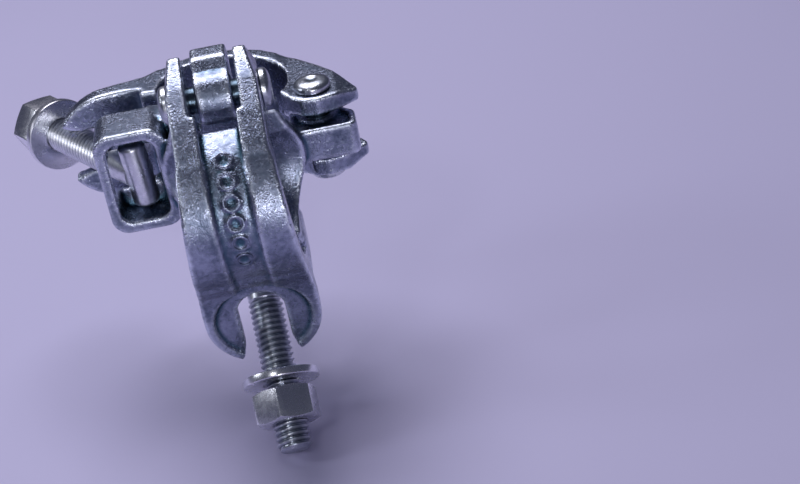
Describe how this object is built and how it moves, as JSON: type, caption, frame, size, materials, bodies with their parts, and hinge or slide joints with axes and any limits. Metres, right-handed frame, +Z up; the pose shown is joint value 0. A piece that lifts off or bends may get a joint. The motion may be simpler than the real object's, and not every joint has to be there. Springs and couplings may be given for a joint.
{
  "type": "scaffold coupler clamp",
  "caption": "Forged right angle scaffold coupler: a central body with a hinged flap on each side, each closed over its tube by a swinging bolt with washer and nut.",
  "frame": {"origin": "centre of the ledger tube's axis inside its clamp", "axes": "+X along the ledger tube, +Z up along the standard tube, which passes behind the ledger tube on the +Y side; the ledger flap faces -Y"},
  "size_m": [0.1343, 0.1366, 0.1411],
  "materials": {
    "forging": "hot dip galvanised, as forged",
    "rivet": "galvanised",
    "bolt": "zinc plated",
    "plated": "zinc plated"
  },
  "bodies": {
    "body": {"body": "forging"},
    "ledger_flap": {"ledger_flap": "forging", "ledger_rivet": "rivet"},
    "ledger_bolt": {"ledger_t_bolt": "bolt"},
    "ledger_washer": {"ledger_washer": "plated"},
    "ledger_nut": {"ledger_nut": "plated"},
    "standard_flap": {"standard_flap": "forging", "standard_rivet": "rivet"},
    "standard_bolt": {"standard_t_bolt": "bolt"},
    "standard_washer": {"standard_washer": "plated"},
    "standard_nut": {"standard_nut": "plated"}
  },
  "joints": [
    {"name": "ledger_flap_hinge", "type": "hinge", "parent": "body", "child": "ledger_flap", "pos_m": [0, 0.01375, 0.03295], "axis": [-1, 0, 0], "range_deg": [0, 100]},
    {"name": "ledger_bolt_swing", "type": "hinge", "parent": "body", "child": "ledger_bolt", "pos_m": [0, 0.022, -0.03515], "axis": [0.9994, 0, 0.0349], "range_deg": [-33, 28]},
    {"name": "ledger_nut_travel", "type": "slide", "parent": "ledger_bolt", "child": "ledger_washer", "axis": [0.0242, -0.7193, -0.6942], "range_m": [-0.0064, 0.0096]},
    {"name": "ledger_nut_spin", "type": "hinge", "parent": "ledger_washer", "child": "ledger_nut", "pos_m": [0, 0.022, -0.03515], "axis": [0.0242, -0.7193, -0.6942], "range_deg": [-1094, 1638]},
    {"name": "standard_flap_hinge", "type": "hinge", "parent": "body", "child": "standard_flap", "pos_m": [0.03295, 0.04125, 0], "axis": [0, 0, -1], "range_deg": [0, 100]},
    {"name": "standard_bolt_swing", "type": "hinge", "parent": "body", "child": "standard_bolt", "pos_m": [-0.03515, 0.033, 0], "axis": [-0.0349, 0, 0.9994], "range_deg": [-23, 38]},
    {"name": "standard_nut_travel", "type": "slide", "parent": "standard_bolt", "child": "standard_washer", "axis": [-0.5589, 0.829, -0.0195], "range_m": [-0.0138, 0.0022]},
    {"name": "standard_nut_spin", "type": "hinge", "parent": "standard_washer", "child": "standard_nut", "pos_m": [-0.03515, 0.033, 0], "axis": [-0.5589, 0.829, -0.0195], "range_deg": [-2353, 380]}
  ],
  "couplings": [
    {"joint": "ledger_nut_spin", "follows": "ledger_nut_travel", "rad_per_m": 2968.4},
    {"joint": "standard_nut_spin", "follows": "standard_nut_travel", "rad_per_m": 2968.4}
  ]
}
